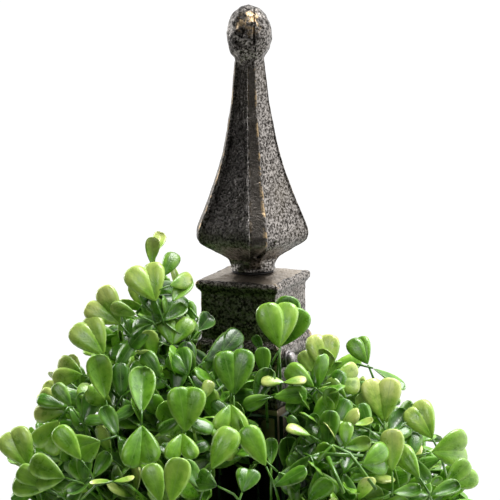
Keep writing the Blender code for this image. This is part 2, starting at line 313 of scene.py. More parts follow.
def matMaterial():
    # moulded grid panel: dark green plastic, slightly mottled
    made, tree, shader = newMaterial("gridPlastic")
    place = objectPlace(tree)
    mottle = noiseNode(tree, place, 90, 4, 0.6)
    green = ramp(tree, mottle, [(0.3, (0.010, 0.035, 0.010)), (0.7, (0.022, 0.07, 0.018))])
    tree.links.new(green, shader.inputs["Base Color"])
    shader.inputs["Roughness"].default_value = 0.5
    addBump(tree, shader, noiseNode(tree, place, 900, 2, 0.5), 0.15, 0.0002)
    return made


def leafMaterial():
    # moulded plastic leaf: pale rim and midrib, side veins, green that turns yellow on new growth
    made, tree, shader = newMaterial("boxwoodLeaf")
    place = objectPlace(tree)
    uv = addNode(tree, "ShaderNodeUVMap", uv_map="leafMap").outputs["UV"]
    split = tree.nodes.new("ShaderNodeSeparateXYZ")
    tree.links.new(uv, split.inputs["Vector"])
    across = maths(tree, "ABSOLUTE", maths(tree, "SUBTRACT", split.outputs["X"], 0.5))
    along = split.outputs["Y"]
    tone = addNode(tree, "ShaderNodeAttribute", attribute_name="tone").outputs["Fac"]
    fresh = addNode(tree, "ShaderNodeAttribute", attribute_name="fresh").outputs["Fac"]
    blotch = noiseNode(tree, place, 150, 4, 0.6)
    uneven = maths(tree, "SUBTRACT", blotch, 0.5)
    mottled = maths(tree, "ADD", tone, maths(tree, "MULTIPLY", uneven, 0.8))
    paleEdge = ramp(tree, across, [(0.05, 0.0), (0.5, 0.22)])
    deep, middle = (0.006, 0.03, 0.002), (0.055, 0.18, 0.007)
    light, palest = (0.17, 0.40, 0.02), (0.38, 0.64, 0.07)
    stops = [(0.0, deep), (0.35, middle), (0.65, light), (1.0, palest)]
    green = ramp(tree, maths(tree, "ADD", mottled, paleEdge), stops)
    young = ramp(tree, along, [(0.0, (0.34, 0.54, 0.06)), (1.0, (0.74, 0.78, 0.24))])
    ripe = maths(tree, "ADD", along, maths(tree, "MULTIPLY", uneven, 1.6))
    newGrowth = maths(tree, "MULTIPLY", fresh, ramp(tree, ripe, [(0.25, 0.15), (0.85, 1.0)]))
    body = mixColour(tree, newGrowth, green, young)
    rim = ramp(tree, across, [(0.42, 0.0), (0.5, 0.45)])
    rimmed = mixColour(tree, rim, body, (0.30, 0.47, 0.13))
    rib = ramp(tree, across, [(0.0, 0.45), (0.035, 0.0)])
    ribbed = mixColour(tree, rib, rimmed, (0.24, 0.42, 0.09))
    tree.links.new(ribbed, shader.inputs["Base Color"])
    tree.links.new(ramp(tree, blotch, [(0.3, 0.24), (0.7, 0.38)]), shader.inputs["Roughness"])
    shader.inputs["Specular IOR Level"].default_value = 0.75
    slant = maths(tree, "SUBTRACT", along, maths(tree, "MULTIPLY", across, 0.9))
    veins = maths(tree, "ABSOLUTE", maths(tree, "SINE", maths(tree, "MULTIPLY", slant, 26.0)))
    height = maths(tree, "ADD", maths(tree, "MULTIPLY", veins, 0.25), noiseNode(tree, place, 600, 3, 0.5))
    addBump(tree, shader, height, 0.22, 0.0004)
    return made


print("stage: materials")
finialTones = {"brown": (0.05, 0.044, 0.038), "pale": (0.30, 0.278, 0.26), "plainTone": (0.10, 0.089, 0.076)}
capTones = {"brown": (0.055, 0.048, 0.038), "pale": (0.33, 0.30, 0.275), "plainTone": (0.42, 0.355, 0.28)}
finialIron = castIronMaterial("finialIron", 0.7, **finialTones)
capIron = castIronMaterial("capIron", 0.5, **capTones)
blackIron = paintedIronMaterial()
dullSteel = steelMaterial()
gasketRubber = rubberMaterial()
gridPlastic = matMaterial()
boxwoodLeaf = leafMaterial()


def finishPiece(obj, material, body, slot, *nodes):
    # gives a finished piece its material and body, and hides the nodes that it stands for; the slot argument is not
    # used
    obj.data.materials.clear()
    obj.data.materials.append(material)
    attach(obj, body)
    if nodes:
        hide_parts(*nodes)


finialShape = {
    "twist": math.radians(-16),  # it is screwed on a little short of square
    "foot": ((1.5, 14.2), (4.0, 13.6)),  # height and radius, mm above the cap
    "ribs": (  # height, rib reach, rib width, recess of the broad faces, mm
        (8.5, 15.4, 6, 0.3), (11, 18.5, 7.5, 0.4), (14.3, 24.6, 9, 0.5), (18.5, 31.5, 10.3, 0.6),
        (21.5, 33.9, 10.5, 0.6), (27, 33.9, 10.5, 0.8), (34, 31.5, 10.2, 1.0), (44, 27.4, 9.4, 1.1),
        (54, 23.7, 8.6, 1.1), (64, 20.3, 7.8, 1.0), (74, 17.5, 7.2, 0.9), (84, 15.3, 6.6, 0.8),
        (94, 13.7, 6, 0.6), (104, 11.8, 5.4, 0.5), (121, 10, 4.8, 0.4), (129, 9.2, 4.6, 0.3),
    ),
    "ballRadius": 13.7, "ballCentre": 148.2, "ballAbove": 17.4, "ballBelow": 20.0,
    "boreRadius": 5.3, "boreDepth": 33.0,
    "nick": ((4.5, -5.0), (15.5, 5.0)),  # from and to, mm across and up in the main view
    "columns": {"flank": 5, "face": 12, "strip": 7},
    "rows": 190,
    "grain": ((0.9, 0.10), (3.0, 0.16), (9.0, 0.25)),  # lump size and height, mm
    "plainFrom": 18, "plainTo": 128,  # the ribs are rubbed and even in tone between these heights
    "rubWidth": 1.1, "rubRight": 0.9, "rubLeft": 0.2,  # width in columns, wear on a rib's right and left edge
    "ballFrom": 131, "ballGrain": (4.5, 0.9),
    "patch": (11, 0.5, 7.5), "patchSize": 8.5,  # toward the view, left of it and up from the ball's centre
    "nickReach": 2.6, "nickSlope": 1.4,
    "crackAside": 3.2, "crackHalf": 0.5, "crackDeep": 1.3, "crackLow": 10,
}


def ribbedRing(reach, strip, recess):
    # one turn round the finial: flat rib strips at four corners, sunk faces between
    half = (reach + strip / 2) / math.sqrt(2)
    edge = half - strip / math.sqrt(2)
    flank = min(recess * 1.6, edge * 0.5)
    sunk = half - recess
    corners = [(half, -edge), (sunk, -edge + flank), (sunk, edge - flank), (half, edge), (edge, half)]
    columns = finialShape["columns"]
    counts = (columns["flank"], columns["face"], columns["flank"], columns["strip"])
    ring = []
    for start, end, count in zip(corners, corners[1:], counts):
        for i in range(count):
            t = i / count
            ring.append((start[0] + (end[0] - start[0]) * t, start[1] + (end[1] - start[1]) * t))
    turned = []
    for quarter in range(4):
        c, s = round(math.cos(quarter * math.pi / 2)), round(math.sin(quarter * math.pi / 2))
        turned += [(x * c - y * s, x * s + y * c) for x, y in ring]
    return np.array(turned)


def roundRing(radius):
    ring = ribbedRing(1, 0.5, 0.05)
    return ring / np.linalg.norm(ring, axis=1)[:, None] * radius


def markFinial(finial):
    # a rougher skin, a bare patch and a crack on the ball, and a nick under the near rib
    shape = finialShape
    centre = Vector((0, 0, neckZ + shape["ballCentre"] * mm))
    lump, height = shape["ballGrain"]
    for vertex in finial.data.vertices:
        if vertex.co.z > neckZ + shape["ballFrom"] * mm:
            outward = (vertex.co - centre).normalized()
            vertex.co += outward * noise.noise(vertex.co / (lump * mm)) * height * mm
    near, left, up = shape["patch"]
    patch = centre + viewToward * near * mm - viewRight * left * mm + Vector((0, 0, up * mm))
    (startAcross, startUp), (endAcross, endUp) = shape["nick"]
    for vertex, worn in zip(finial.data.vertices, finial.data.attributes["wear"].data):
        away = (vertex.co - patch).length / (shape["patchSize"] * mm)
        worn.value = max(worn.value, min(1.0, 1.6 - 1.5 * away))
        across, up, depth = seenAt(vertex.co)
        along = (up - startUp) / (endUp - startUp)
        nick = abs(across - startAcross - along * (endAcross - startAcross))
        if depth > 0 and 0 < along < 1 and nick < shape["nickReach"]:
            vertex.co -= viewToward * (shape["nickReach"] - nick) * shape["nickSlope"] * mm
        out = vertex.co - centre
        inCrack = abs(out.dot(viewRight) - shape["crackAside"] * mm) < shape["crackHalf"] * mm
        if inCrack and out.z > -shape["crackLow"] * mm and out.dot(viewToward) > 0:
            vertex.co -= viewToward * shape["crackDeep"] * mm


def makeFinial():
    shape = finialShape
    rings = [(z, roundRing(r)) for z, r in shape["foot"]]
    rings += [(z, ribbedRing(reach, strip, recess)) for z, reach, strip, recess in shape["ribs"]]
    for degrees in range(-48, 90, 12):
        turn = math.radians(degrees)
        rise = shape["ballAbove"] if degrees > 0 else shape["ballBelow"]
        height = shape["ballCentre"] + rise * math.sin(turn)
        rings.append((height, roundRing(shape["ballRadius"] * math.cos(turn))))
    heights = np.array([z for z, _ in rings])
    travel = np.arange(len(rings), dtype=float)
    steps = np.linspace(0, len(rings) - 1, shape["rows"])
    outer = curveThrough(travel, np.array([ring for _, ring in rings]), steps)
    levels = curveThrough(travel, heights, steps)
    wall = roundRing(shape["boreRadius"])
    bore = [(shape["boreDepth"], roundRing(0.01)), (shape["boreDepth"], wall), (shape["foot"][0][0], wall)]
    top = shape["ballCentre"] + shape["ballAbove"]
    stack = bore + list(zip(levels, outer)) + [(top, roundRing(0.01))]
    around = len(stack[0][1])
    bpy.ops.mesh.primitive_grid_add(x_subdivisions=around, y_subdivisions=len(stack) - 1, size=1)
    finial = bpy.context.object
    finial.name = "finialBody"
    places = np.zeros((len(stack), around + 1, 3))
    for row, (z, ring) in enumerate(stack):
        places[row, :around, :2] = ring
        places[row, around, :2] = ring[0]
        places[row, :, 2] = z
    column = np.tile(np.arange(around + 1), len(stack))
    level = np.repeat([z for z, _ in stack], around + 1)
    finial.data.vertices.foreach_set("co", (places.reshape(-1, 3) * mm).reshape(-1))
    # rubbed edges: both sides of each rib, one more than the other
    counts = shape["columns"]
    quarter = around // 4
    inQuarter = column % quarter
    stripStart = 2 * counts["flank"] + counts["face"]
    fromEdge = np.minimum(abs(inQuarter - stripStart), np.minimum(inQuarter, quarter - inQuarter))
    rightEdge = np.minimum(inQuarter, quarter - inQuarter) < 3
    onRibs = (level > shape["plainFrom"]) * (level < shape["plainTo"])
    share = np.where(rightEdge, shape["rubRight"], shape["rubLeft"])
    rubbed = np.exp(-((fromEdge / shape["rubWidth"]) ** 2)) * onRibs * share
    pointValue(finial, "wear", rubbed)
    pointValue(finial, "plain", (inQuarter > stripStart) * onRibs * 1.0)
    fixNormals(finial)
    finial.data.transform(Matrix.Translation((0, 0, neckZ)) @ Matrix.Rotation(shape["twist"], 4, "Z"))
    castSkin(finial, shape["grain"])
    markFinial(finial)
    smoothShade(finial, 60)
    finishPiece(finial, finialIron, "finial", "cast_iron", "finial")


capShape = {
    "half": 25.0, "wall": 3.0,
    "outline": (  # half-width and height under the neck, mm, from the skirt up
        (25.0, -52.0), (26.5, -51.2), (27.6, -48.9), (28.0, -45.8), (27.6, -42.6), (26.5, -40.3),
        (25.0, -39.5), (25.0, -10.2), (25.7, -8.8), (27.2, -6.6), (27.5, -4.8), (26.9, -3.3),
        (25.6, -2.5), (16.0, -1.3), (13.0, -0.3),
    ),
    "boltDrop": 50.0, "boltOffset": 15.5, "bossRadius": 5.8, "bossReach": 3.2, "boltHole": 2.8,
    "studHole": 5.3, "roofDrop": 18.0, "plainDrop": 2.4, "voxel": 0.55,
    "wornFrom": 0.93, "wornGrowth": 14, "wornMost": 0.55, "bevel": 0.9, "bossBevel": 0.5,
    "grain": ((1.1, 0.16), (3.5, 0.22), (12.0, 0.3)),
}


def boltPlace(side, out=0):
    # turns +Z out through a side of the skirt, at that side's bolt
    turn = Matrix.Rotation(math.radians(sideTurns[side]), 4, "Z") @ Matrix.Rotation(math.pi / 2, 4, "Y")
    drop = Matrix.Translation((0, 0, neckZ - capShape["boltDrop"] * mm))
    return drop @ turn @ Matrix.Translation((0, -capShape["boltOffset"] * mm, out))


def makeCapBlock():
    shape = capShape
    half = shape["half"] * mm
    bpy.ops.mesh.primitive_plane_add(size=2 * half, location=(0, 0, skirtZ))
    cap = bpy.context.object
    cap.name = "capBody"
    bpy.ops.object.mode_set(mode="EDIT")
    bpy.ops.mesh.select_all(action="SELECT")
    width, level = half, skirtZ
    for newHalf, drop in shape["outline"]:  # each moulding is one extrusion and one resize
        rise = neckZ + drop * mm - level
        bpy.ops.mesh.extrude_region_move(TRANSFORM_OT_translate={"value": (0, 0, rise)})
        scale = newHalf * mm / width
        bpy.ops.transform.resize(value=(scale, scale, 1))
        width, level = newHalf * mm, level + rise
    bpy.ops.mesh.select_all(action="SELECT")
    bpy.ops.mesh.normals_make_consistent(inside=False)
    bpy.ops.object.mode_set(mode="OBJECT")
    applyPlace(cap)
    addBevel(cap, shape["bevel"] * mm, 3, 50)
    applyModifiers(cap)
    tools = []
    reach = half + shape["bossReach"] * mm
    for side in sideTurns:
        bpy.ops.mesh.primitive_cylinder_add(vertices=40, radius=shape["bossRadius"] * mm, depth=reach)
        boss = bpy.context.object
        addBevel(boss, shape["bossBevel"] * mm, 2)
        applyModifiers(boss)
        boss.matrix_world = boltPlace(side, reach / 2)
        tools.append((boss, "UNION"))
    inner = (shape["half"] - shape["wall"]) * mm
    deep = neckZ - shape["roofDrop"] * mm - skirtZ + 0.01
    middle = neckZ - shape["roofDrop"] * mm - deep / 2
    bpy.ops.mesh.primitive_cube_add(size=1, location=(0, 0, middle), scale=(2 * inner, 2 * inner, deep))
    tools.append((bpy.context.object, "DIFFERENCE"))
    hole = shape["studHole"] * mm
    bpy.ops.mesh.primitive_cylinder_add(vertices=32, radius=hole, depth=0.06, location=(0, 0, neckZ))
    tools.append((bpy.context.object, "DIFFERENCE"))
    for side in sideTurns:
        bpy.ops.mesh.primitive_cylinder_add(vertices=24, radius=shape["boltHole"] * mm, depth=0.04)
        bpy.context.object.matrix_world = boltPlace(side, 0.02)
        tools.append((bpy.context.object, "DIFFERENCE"))
    for tool, operation in tools:
        boolean = cap.modifiers.new("Shape", "BOOLEAN")
        boolean.operation = operation
        boolean.object = tool
        applyModifiers(cap)
        bpy.data.objects.remove(tool)
    remesh = cap.modifiers.new("Even", "REMESH")
    remesh.mode = "VOXEL"
    remesh.voxel_size = shape["voxel"] * mm
    applyModifiers(cap)
    castSkin(cap, shape["grain"])
    places = [v.co for v in cap.data.vertices]
    corner = [min(abs(p.x), abs(p.y)) / half for p in places]
    roof = neckZ - shape["plainDrop"] * mm
    pointValue(cap, "plain", [1.0 if p.z > roof else 0.0 for p in places])
    worn = [max(0.0, min(1.0, (c - shape["wornFrom"]) * shape["wornGrowth"])) for c in corner]
    pointValue(cap, "wear", [value * shape["wornMost"] for value in worn])
    smoothShade(cap, 70)
    finishPiece(cap, capIron, "frame", "cast_iron", "cap_block")


boltShape = {
    "radius": 2.5, "dome": 4.2, "rise": 3.4, "edge": 0.9, "tip": 16.0, "chamfer": 0.4,
    "washer": 5.4, "washerThick": 1.2, "gap": 0.3, "turns": 48,
}


def turnProfile(name, points, steps):
    # spins an outline of (radius, height) in mm about the upright axis
    bpy.ops.mesh.primitive_circle_add(vertices=max(3, len(points)), radius=1)
    piece = bpy.context.object
    piece.name = name
    mesh = piece.data
    mesh.clear_geometry()
    edges = [(i, i + 1) for i in range(len(points) - 1)]
    mesh.from_pydata([(r * mm, 0, z * mm) for r, z in points], edges, [])
    screw = piece.modifiers.new("Spin", "SCREW")
    screw.steps = screw.render_steps = steps
    screw.use_merge_vertices = True
    screw.merge_threshold = 0.00001
    applyModifiers(piece)
    fixNormals(piece)
    return piece


def makeBolts():
    shape = boltShape
    seat = capShape["half"] + capShape["bossReach"] + shape["gap"]
    top = seat + shape["washerThick"] + shape["gap"]
    wide, edge, radius, tip = shape["dome"], shape["edge"], shape["radius"], shape["tip"]
    arc = np.linspace(math.pi / 2, 0, 9)
    dome = [(wide * math.cos(a), top + edge + (shape["rise"] - edge) * math.sin(a)) for a in arc]
    dome[0] = (0, dome[0][1])
    shank = [(wide - 0.15, top + 0.1), (wide - 0.4, top), (radius, top)]
    shank += [(radius, tip + shape["chamfer"]), (0, tip)]
    inner, outer = shape["radius"] + shape["gap"], shape["washer"]
    high = seat + shape["washerThick"]
    ring = [(inner, high), (outer - 0.3, high), (outer, high - 0.3), (outer, seat + 0.2)]
    ring += [(outer - 0.2, seat), (inner, seat), (inner, high)]
    for side in sideTurns:
        for name, outline, node in (("bolt", dome + shank, "cap_bolt_"), ("washer", ring, "cap_washer_")):
            piece = turnProfile(name + side.title(), outline, shape["turns"])
            piece.data.transform(boltPlace(side))
            smoothShade(piece, 35)
            finishPiece(piece, dullSteel, "frame", "steel", node + side)


gasketShape = {
    "low": 0.05, "high": 1.15, "bore": 5.4, "rim": 12.5, "rimBulge": 0.35, "rimHalf": 0.5, "middle": 0.6,
    "turns": 64,
}


def makeGasket():
    shape = gasketShape
    low, high, bore = shape["low"], shape["high"], shape["bore"]
    arc = np.linspace(math.pi / 2, -math.pi / 2, 7)
    bulge, half, middle = shape["rimBulge"], shape["rimHalf"], shape["middle"]
    rim = [(shape["rim"] + bulge * math.cos(a), middle + half * math.sin(a)) for a in arc]
    outline = [(bore, high)] + rim + [(bore, low), (bore, high)]
    gasket = turnProfile("gasketRing", outline, shape["turns"])
    gasket.data.transform(Matrix.Translation((0, 0, neckZ)))
    smoothShade(gasket, 40)
    finishPiece(gasket, gasketRubber, "gasket", "rubber", "finial_gasket")


legShape = {
    "flange": 18.0, "thick": 3.0, "topHalf": 25.0, "baseHalf": 150.0, "footThick": 4.0, "gap": 0.3,
    "stations": 48, "bevel": 0.5, "spotWear": 0.22,
    "bareGlintDrop": 8.0, "bareGlintReach": 14.0, "bareGlintWidth": 5.5, "edgeWidth": 1.6,  # the bare patch under the cap, partly bare metal and partly a painted highlight
}


def legHalf(z):
    shape = legShape
    fall = max(0.0, (skirtZ - z) / skirtZ)
    return (shape["topHalf"] + (shape["baseHalf"] - shape["topHalf"]) * fall**2) * mm


def legWearAndGlint(place):
    # bare metal along the outer corner: faint spots all the way down, and a wide patch under the cap that is partly
    # bare metal and partly a painted highlight on the corner
    shape = legShape
    edge = min(abs(place.x), abs(place.y)) - legHalf(place.z)
    top = max(0.0, 1 - abs(place.z - skirtZ + shape["bareGlintDrop"] * mm) / (shape["bareGlintReach"] * mm))
    if edge <= -(shape["bareGlintWidth"] if top > 0.2 else shape["edgeWidth"]) * mm:
        return 0.0
    spot = shape["spotWear"] if noise.noise(place * 60 + Vector((3.1, 0, 0))) > 0.15 else 0.0
    return max(0.0, min(1.0, spot + top * 1.4))


def makeLegs():
    shape = legShape
    low, high = (shape["footThick"] + shape["gap"]) * mm, skirtZ - shape["gap"] * mm
    flange, thick = shape["flange"] * mm, shape["thick"] * mm
    angle = [(0, 0), (-flange, 0), (-flange, -thick), (-thick, -thick), (-thick, -flange), (0, -flange)]
    step = (high - low) / shape["stations"]
    for corner, degrees in (("front_right", -90), ("back_right", 0), ("back_left", 90), ("front_left", 180)):
        bpy.ops.mesh.primitive_circle_add(vertices=6, radius=0.01, fill_type="NGON", location=(0, 0, 0))
        leg = bpy.context.object
        leg.name = "leg" + corner.title().replace("_", "")
        half = legHalf(low)
        for vertex, (x, y) in zip(leg.data.vertices, angle):
            vertex.co = (half + x, half + y, low)
        bpy.ops.object.mode_set(mode="EDIT")
        bpy.ops.mesh.select_all(action="SELECT")
        for i in range(shape["stations"]):
            z = low + step * i
            shift = legHalf(z + step) - legHalf(z)
            bpy.ops.mesh.extrude_region_move(TRANSFORM_OT_translate={"value": (shift, shift, step)})
        bpy.ops.object.mode_set(mode="OBJECT")
        fixNormals(leg)
        addBevel(leg, shape["bevel"] * mm, 2, 40)
        applyModifiers(leg)
        leg.data.transform(Matrix.Rotation(math.radians(degrees), 4, "Z"))
        # the wide patch under the cap in these values is partly a painted highlight
        rubbed = [legWearAndGlint(vertex.co) for vertex in leg.data.vertices]
        pointValue(leg, "wear", rubbed)
        smoothShade(leg, 35)
        finishPiece(leg, blackIron, "frame", "black_iron", "leg_" + corner)


bushShape = {
    "baseHalf": 205.0, "shoulderHalf": 138.0, "shoulderZ": 0.680, "crownRise": 0.110, "crownFall": 80.0,
    "drop": 14.5, "squareness": 5.0,
}
tiers = {"base": (0.100, 0.270), "lower": (0.272, 0.440), "upper": (0.442, 0.598), "crown": (0.600, 0.800)}


def bushReach(angle, z):
    # how far the leaves come from the axis in this direction: a rounded square that leans lower on one side
    shape = bushShape
    drop = shape["drop"] * mm * (1 + math.cos(angle - viewTurn))
    level = z + (drop if z > 0.6 else drop * max(0.0, (z - 0.5) / 0.1))
    if level <= shape["shoulderZ"]:
        narrowing = (shape["shoulderHalf"] - shape["baseHalf"]) * (level / shape["shoulderZ"]) ** 1.6
        half = shape["baseHalf"] + narrowing
    else:
        rise = (level - shape["shoulderZ"]) / shape["crownRise"]
        half = shape["shoulderHalf"] - shape["crownFall"] * rise**1.3
    power = shape["squareness"]
    spread = (abs(math.cos(angle)) ** power + abs(math.sin(angle)) ** power) ** (1 / power)
    return max(0.0, half) * mm / spread


leafShape = {"width": 0.58, "thick": 0.018, "rows": (0.0, 0.2, 0.42, 0.64, 0.84, 0.96, 1.0)}
heroRows = (0.0, 0.07, 0.17, 0.3, 0.44, 0.58, 0.7, 0.81, 0.9, 0.965, 1.0)


def leafWidth(t):
    # share of the full width along a spoon-shaped leaf: narrow at the foot, broadest past the middle
    return min(1.0, 2.19 * (t + 0.01) ** 0.95 * (1.004 - t) ** 0.4)


def makeLeafForm(columns, rows, dome, crease, arch, twist):
    # one leaf of unit length: domed or cupped across, creased along the midrib, arched to the tip
    bpy.ops.mesh.primitive_grid_add(x_subdivisions=columns, y_subdivisions=len(rows) - 1, size=1)
    leaf = bpy.context.object
    count = columns + 1
    for i, vertex in enumerate(leaf.data.vertices):
        t, s = rows[i // count], 2 * (i % count) / columns - 1
        half = leafShape["width"] / 2 * leafWidth(t)
        x = s * half
        fold = crease * half * max(0.0, 1 - abs(s) * 2.2)
        lift = dome * half * (1 - s * s) - fold - arch * t * t
        turn = twist * t
        vertex.co = (x * math.cos(turn), t, lift + x * math.sin(turn))
    solid = leaf.modifiers.new("Thick", "SOLIDIFY")
    solid.thickness = leafShape["thick"]
    solid.offset = -1
    applyModifiers(leaf)
    mesh = leaf.data
    places = np.empty(len(mesh.vertices) * 3)
    mesh.vertices.foreach_get("co", places)
    places = places.reshape(-1, 3)
    faces = np.array([list(p.vertices) for p in mesh.polygons])
    grid = np.array([((i % count) / columns, rows[i // count]) for i in range(count * len(rows))])
    bpy.data.objects.remove(leaf)
    return places, faces, np.vstack([grid, grid])[: len(places)]


print("stage: leaf forms")
bends = (  # dome, crease, arch and twist
    (0.24, 0.07, 0.06, 0.0), (0.32, 0.10, 0.14, 0.1), (-0.28, 0.10, -0.10, -0.12),
    (0.20, 0.08, -0.12, 0.1), (-0.36, 0.14, 0.18, -0.2),
)
leafForms = [makeLeafForm(4, leafShape["rows"], *bend) for bend in bends]
heroForms = [makeLeafForm(8, heroRows, *bend) for bend in bends]


def stemMesh(points, radius, ring=5):
    # places, side faces and end faces of one stem that thins towards its tip
    path = np.array([list(p) for p in points])
    last = len(path) - 1
    side = Vector(path[-1] - path[0]).orthogonal().normalized()
    made = []
    for i, p in enumerate(path):
        heading = Vector(path[min(i + 1, last)] - path[max(i - 1, 0)]).normalized()
        other = heading.cross(side).normalized()
        side = other.cross(heading)
        thin = radius * (1 - 0.35 * i / last)
        for a in np.arange(ring) * 2 * math.pi / ring:
            made.append(p + thin * (math.cos(a) * np.array(side) + math.sin(a) * np.array(other)))
    foot, tip, end = len(made), len(made) + 1, last * ring
    made += [path[0], path[-1]]
    following = [(j + 1) % ring for j in range(ring)]
    quads = []
    for i in range(0, end, ring):
        quads += [[i + j, i + k, i + ring + k, i + ring + j] for j, k in enumerate(following)]
    caps = [[foot, k, j] for j, k in enumerate(following)]
    caps += [[tip, end + j, end + k] for j, k in enumerate(following)]
    return made, quads, caps


class Foliage:
    # collects leaves and stems, then makes them one mesh
    def __init__(self, name):
        self.name = name
        self.leaves = []
        self.stems = []

    def addLeaf(self, form, base, along, normal, length, width, tone, fresh):
        self.leaves.append((form, base, along, normal, length, width, tone, fresh))

    def addStem(self, points, radius, tone):
        self.stems.append((points, radius, tone))

    def build(self):
        places, faces, uvs, tones, freshes = [], [], [], [], []
        start = 0
        for form, base, along, normal, length, width, tone, fresh in self.leaves:
            y = along.normalized()
            x = y.cross(normal).normalized()
            z = x.cross(y)
            turn = np.array([x * width, y * length, z * width])
            points, quads, uv = form
            places.append(points @ turn + np.array(base))
            faces.append(quads + start)
            uvs.append(uv)
            tones.append(np.full(len(points), tone))
            freshes.append(np.full(len(points), fresh))
            start += len(points)
        for points, radius, tone in self.stems:
            made, quads, caps = stemMesh(points, radius)
            places.append(np.array(made))
            faces.append(np.array(quads) + start)
            faces.append(np.array(caps) + start)
            uvs.append(np.full((len(made), 2), 0.25))
            tones.append(np.full(len(made), tone))
            freshes.append(np.full(len(made), 0.12))
            start += len(made)
        mesh = bpy.data.meshes.new(self.name)
        allPlaces = np.vstack(places)
        sizes = np.concatenate([np.full(len(f), f.shape[1]) for f in faces])
        loops = np.concatenate([f.reshape(-1) for f in faces])
        mesh.vertices.add(len(allPlaces))
        mesh.vertices.foreach_set("co", allPlaces.reshape(-1))
        mesh.loops.add(len(loops))
        mesh.loops.foreach_set("vertex_index", loops)
        mesh.polygons.add(len(sizes))
        mesh.polygons.foreach_set("loop_start", np.concatenate([[0], np.cumsum(sizes)[:-1]]))
        mesh.update(calc_edges=True)
        mesh.validate()
        mesh.polygons.foreach_set("use_smooth", np.ones(len(mesh.polygons), dtype=bool))
        obj = bpy.data.objects.new(self.name, mesh)
        bpy.context.scene.collection.objects.link(obj)
        uvMap = mesh.uv_layers.new(name="leafMap")
        uvMap.data.foreach_set("uv", np.vstack(uvs)[loops].reshape(-1))
        pointValue(obj, "tone", np.concatenate(tones))
        pointValue(obj, "fresh", np.concatenate(freshes))
        return obj


sprigShape = {
    "spacing": 31.0, "crownSpacing": 24.0, "length": (40.0, 58.0), "pairGap": 13.0, "leaf": (23.0, 29.0),
    "stem": 1.0, "inset": 20.0, "innerDepth": 36.0, "innerLength": 26.0, "clearance": 8.0,
}
skyline = (  # the top of the bush in the main view: mm across and up from the middle of the view
    (-158, -160), (-151, -112), (-136, -92), (-124, -66), (-108, -50), (-90, -30), (-68, -8), (-56, 8),
    (-46, -2), (-33, -30), (-31, -60), (35, -62), (46, -53), (66, -58), (77, -74), (99, -85), (105, -97),
    (136, -127), (141, -160),
)
openings = (  # left, right, low and high edges of the places that stay clear in front, mm
    (-34, 37, -62, 40), (15, 33, -82, -60), (2, 21, -160, -84), (-26, 4, -160, -137),
)


def outOfView(point, margin=0.0):
    # true for a place above the skyline, or in front of an opening
    across, up, depth = seenAt(point)
    line = np.interp(across, [x for x, _ in skyline], [y for _, y in skyline], left=-165, right=-165)
    if up > line - margin and up > -158:
        return True
    if depth < -12:
        return False
    return any(left < across < right and low < up < high for left, right, low, high in openings)


def growSprig(foliage, tip, heading, length, rng, bright):
    # a stem with crossed pairs of leaves that close towards the tip
    shape = sprigShape
    heading = heading.normalized()
    base = tip - heading * length
    side = heading.orthogonal().normalized()
    side.rotate(Matrix.Rotation(rng.uniform(0, 2 * math.pi), 3, heading))
    bow = side * rng.uniform(-0.08, 0.08) * length
    if outOfView(tip) or outOfView(base + heading * length * 0.5 + bow):
        return
    pairs = max(2, int(length / (shape["pairGap"] * mm)))
    stem = [base, base + heading * length * 0.5 + bow, tip - heading * 3 * mm]
    foliage.addStem(stem, shape["stem"] * mm, 0.3 + 0.15 * bright)
    for i in range(pairs + 1):
        t = i / pairs
        if t < 0.12:
            continue
        node = base + heading * length * t * 0.94 + bow * (1 - (2 * t - 1) ** 2)
        spread = math.radians(72 - 34 * t + rng.uniform(-9, 9))
        size = rng.uniform(*shape["leaf"]) * mm * (1 - 0.2 * t**3)
        if t > 0.95:
            spread = math.radians(rng.uniform(16, 34))
        radial = side.copy()
        radial.rotate(Matrix.Rotation(math.pi / 2 * i + rng.uniform(-0.2, 0.2), 3, heading))
        tone = 0.06 + 0.42 * t * bright + rng.uniform(-0.08, 0.16)
        fresh = max(0.0, rng.uniform(-1.0, 0.8)) * t**4 * bright
        for sign in (1, -1):
            out = radial * sign
            along = heading * math.cos(spread) + out * math.sin(spread)
            normal = heading * math.sin(spread) - out * math.cos(spread)
            normal.rotate(Matrix.Rotation(rng.uniform(-0.35, 0.35), 3, along))
            along.rotate(Matrix.Rotation(rng.uniform(-0.18, 0.18), 3, normal))
            if outOfView(node + along * size * 0.5, 5.0) or outOfView(node + along * size, 5.0):
                continue
            form = leafForms[int(rng.integers(len(leafForms)))]
            foliage.addLeaf(form, node + out * 0.6 * mm, along, normal, size, size, tone, fresh)


